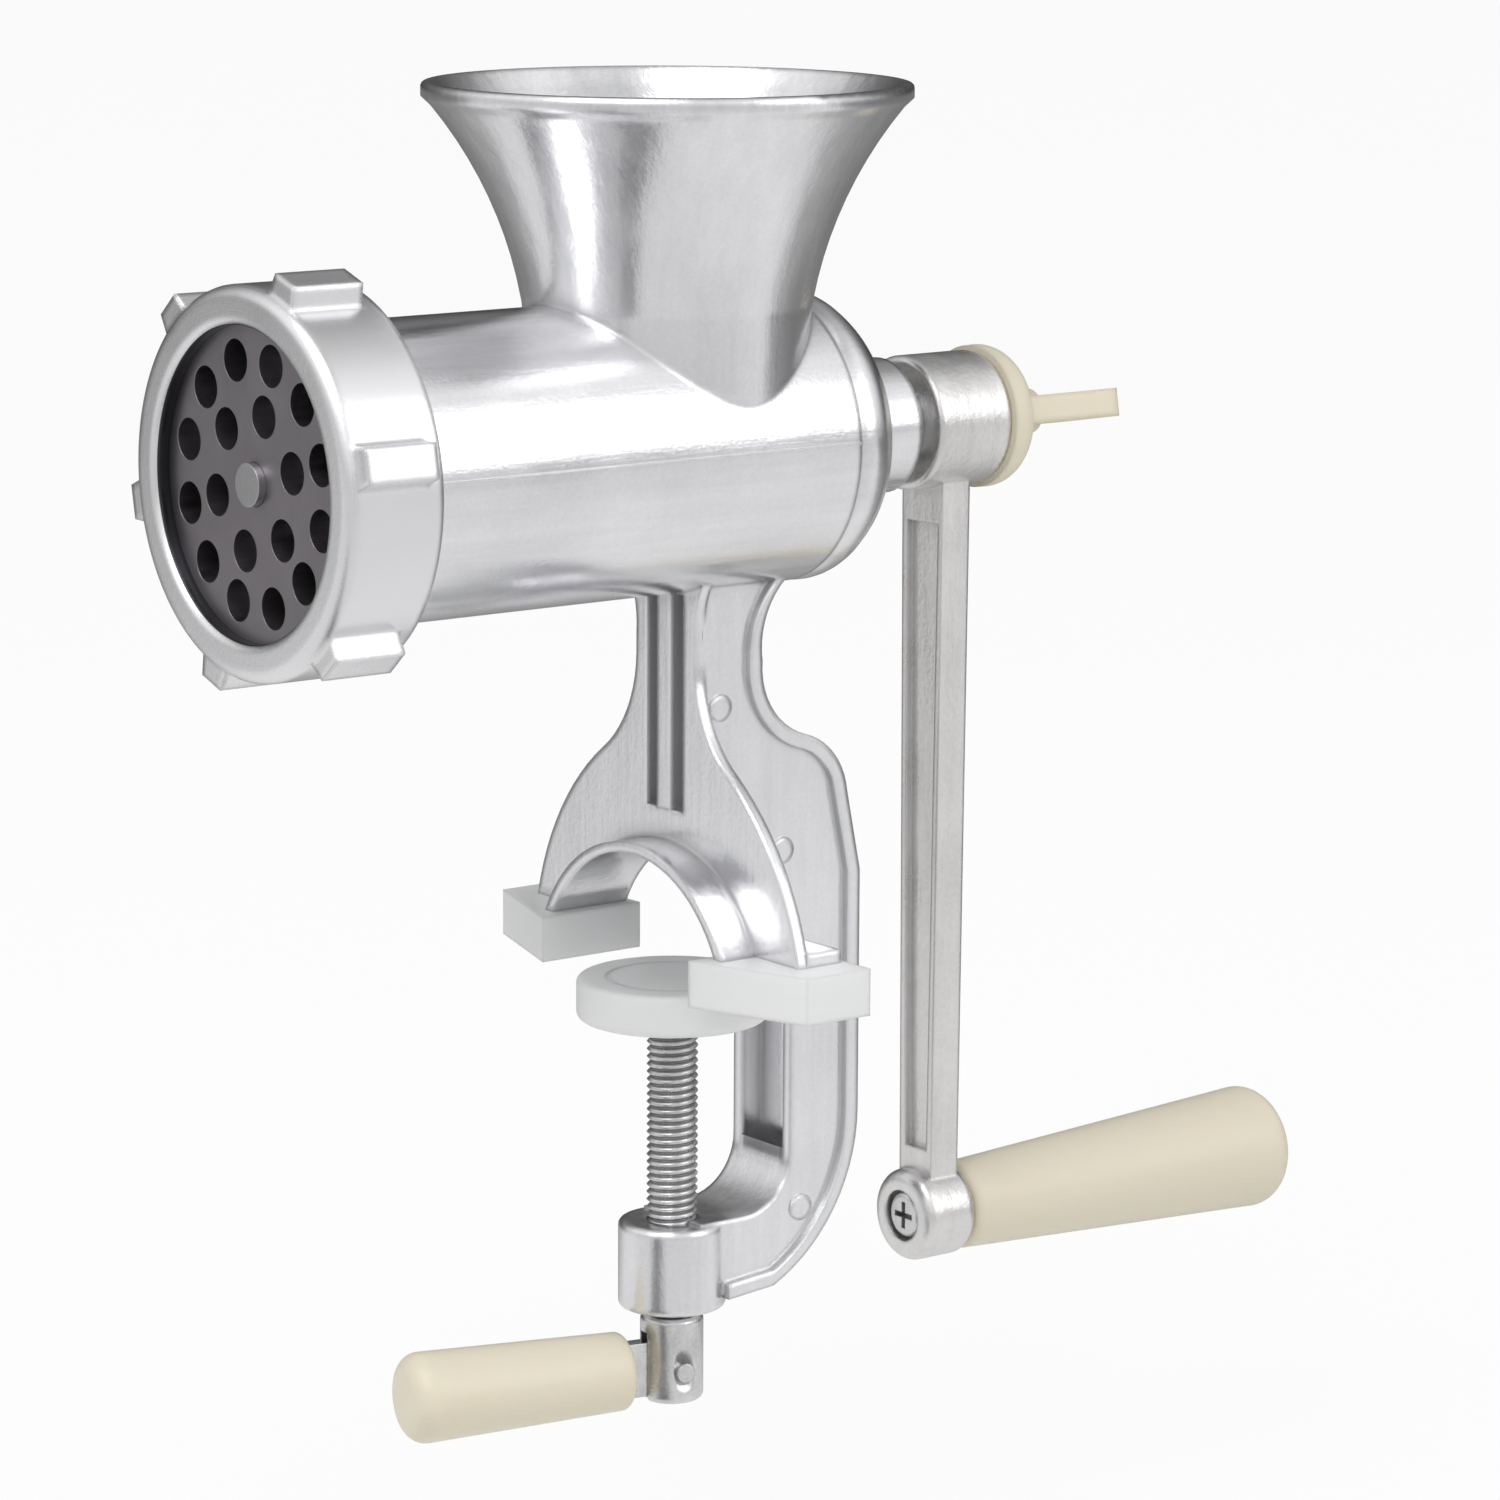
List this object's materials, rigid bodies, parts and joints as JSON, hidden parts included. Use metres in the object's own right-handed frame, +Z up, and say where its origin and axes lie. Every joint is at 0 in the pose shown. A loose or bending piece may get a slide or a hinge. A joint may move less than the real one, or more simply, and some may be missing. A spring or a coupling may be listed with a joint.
{
  "type": "hand crank meat grinder",
  "caption": "Hand meat grinder for a table edge: flared hopper on a cast barrel with feed worm, knife, holed plate and ring nut, crank with handle, C clamp below.",
  "frame": {"origin": "on the clamp screw's axis, in the plane of the table top under the jaw pads", "axes": "+Z up along the clamp screw, +Y along the barrel towards the crank, +X towards the near jaw pad"},
  "size_m": [0.098, 0.2512, 0.2583],
  "materials": {
    "bright_casting": "polished casting",
    "satin_casting": "satin casting",
    "sand_casting": "fine sand-cast texture",
    "worm_casting": "tumbled casting",
    "plate_steel": "dull ground steel",
    "knife_steel": "ground steel",
    "bare_steel": "turned steel",
    "zinc_steel": "bright zinc plate",
    "insert_brass": "turned brass",
    "bearing_nylon": "natural nylon",
    "cream_plastic": "smooth moulded cream",
    "milky_plastic": "milky moulded plastic"
  },
  "bodies": {
    "frame": {"body_casting": "bright_casting", "neck_bush": "bearing_nylon", "thrust_washer": "bearing_nylon", "plate_key": "bare_steel", "jaw_pad_near": "milky_plastic", "jaw_pad_far": "milky_plastic"},
    "drive": {"feed_worm": "worm_casting", "worm_spigot": "bare_steel", "drive_shaft": "bare_steel", "cross_knife": "knife_steel", "crank_arm": "sand_casting"},
    "handle": {"crank_grip": "cream_plastic", "handle_insert": "insert_brass", "handle_screw": "zinc_steel"},
    "thumb_travel": {"thumb_stud": "bare_steel"},
    "thumb_wing": {"thumb_screw": "cream_plastic"},
    "plate": {"cutting_plate": "plate_steel"},
    "ring": {"ring_nut": "satin_casting"},
    "clamp_foot": {"clamp_pad": "milky_plastic"},
    "clamp_spindle": {"clamp_screw": "zinc_steel", "tang_rivet": "zinc_steel"},
    "clamp_lever": {"clamp_tang": "zinc_steel", "clamp_grip": "cream_plastic"}
  },
  "joints": [
    {"name": "crank_turn", "type": "hinge", "parent": "frame", "child": "drive", "pos_m": [0, 0.04, 0.103], "axis": [0, 1, 0], "continuous": true},
    {"name": "handle_spin", "type": "hinge", "parent": "drive", "child": "handle", "pos_m": [0, 0.1, -0.0575], "axis": [0, 1, 0], "continuous": true},
    {"name": "thumb_out", "type": "slide", "parent": "drive", "child": "thumb_travel", "axis": [0, 1, 0], "range_m": [0, 0.0125]},
    {"name": "thumb_turn", "type": "hinge", "parent": "thumb_travel", "child": "thumb_wing", "pos_m": [0, 0.09, 0.103], "axis": [0, 1, 0], "range_deg": [0, 3600]},
    {"name": "plate_out", "type": "slide", "parent": "frame", "child": "plate", "axis": [0, -1, 0], "range_m": [0, 0.006]},
    {"name": "ring_turn", "type": "hinge", "parent": "plate", "child": "ring", "pos_m": [0, -0.09, 0.103], "axis": [0, -1, 0], "range_deg": [0, 1080]},
    {"name": "clamp_lift", "type": "slide", "parent": "frame", "child": "clamp_foot", "axis": [0, 0, 1], "range_m": [-0.036, 0]},
    {"name": "clamp_turn", "type": "hinge", "parent": "clamp_foot", "child": "clamp_spindle", "pos_m": [0, 0, -0.04], "axis": [0, 0, 1], "range_deg": [-8640, 0]},
    {"name": "clamp_fold", "type": "hinge", "parent": "clamp_spindle", "child": "clamp_lever", "pos_m": [0, 0, -0.078], "axis": [0.9781, -0.2079, 0], "range_deg": [0, 180]}
  ],
  "couplings": [
    {"joint": "thumb_turn", "follows": "thumb_out", "rad_per_m": 5026.5},
    {"joint": "ring_turn", "follows": "plate_out", "rad_per_m": 3141.6},
    {"joint": "clamp_turn", "follows": "clamp_lift", "rad_per_m": 4188.8}
  ]
}
